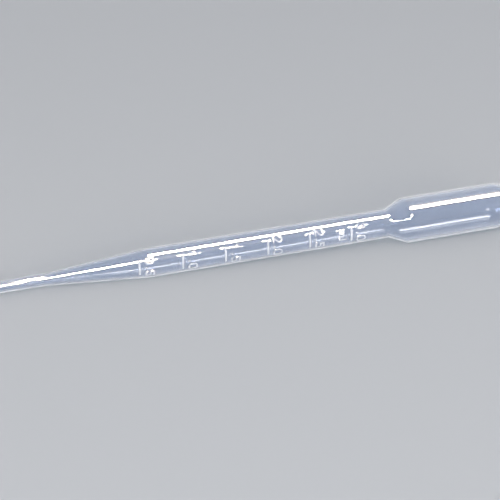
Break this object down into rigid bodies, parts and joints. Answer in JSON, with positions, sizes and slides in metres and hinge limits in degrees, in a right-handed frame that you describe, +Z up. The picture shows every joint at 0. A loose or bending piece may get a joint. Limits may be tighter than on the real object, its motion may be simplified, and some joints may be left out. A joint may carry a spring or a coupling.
{
  "type": "dropper pipette",
  "caption": "One-piece blown plastic dropper pipette with a thin open tip, a tapered shaft with raised volume graduations and a squeeze bulb.",
  "frame": {"origin": "middle of the bounding box on the bench that the pipette lies on", "axes": "+X from the tip to the bulb along the bench, -Y the side that the graduations face, +Z up; the pipette's own axis leans 1.76 degrees up from +X towards the bulb"},
  "size_m": [0.1606, 0.0128, 0.0135],
  "materials": {
    "polyethylene": "gloss"
  },
  "bodies": {
    "root": {"pipette": "polyethylene"}
  },
  "joints": []
}
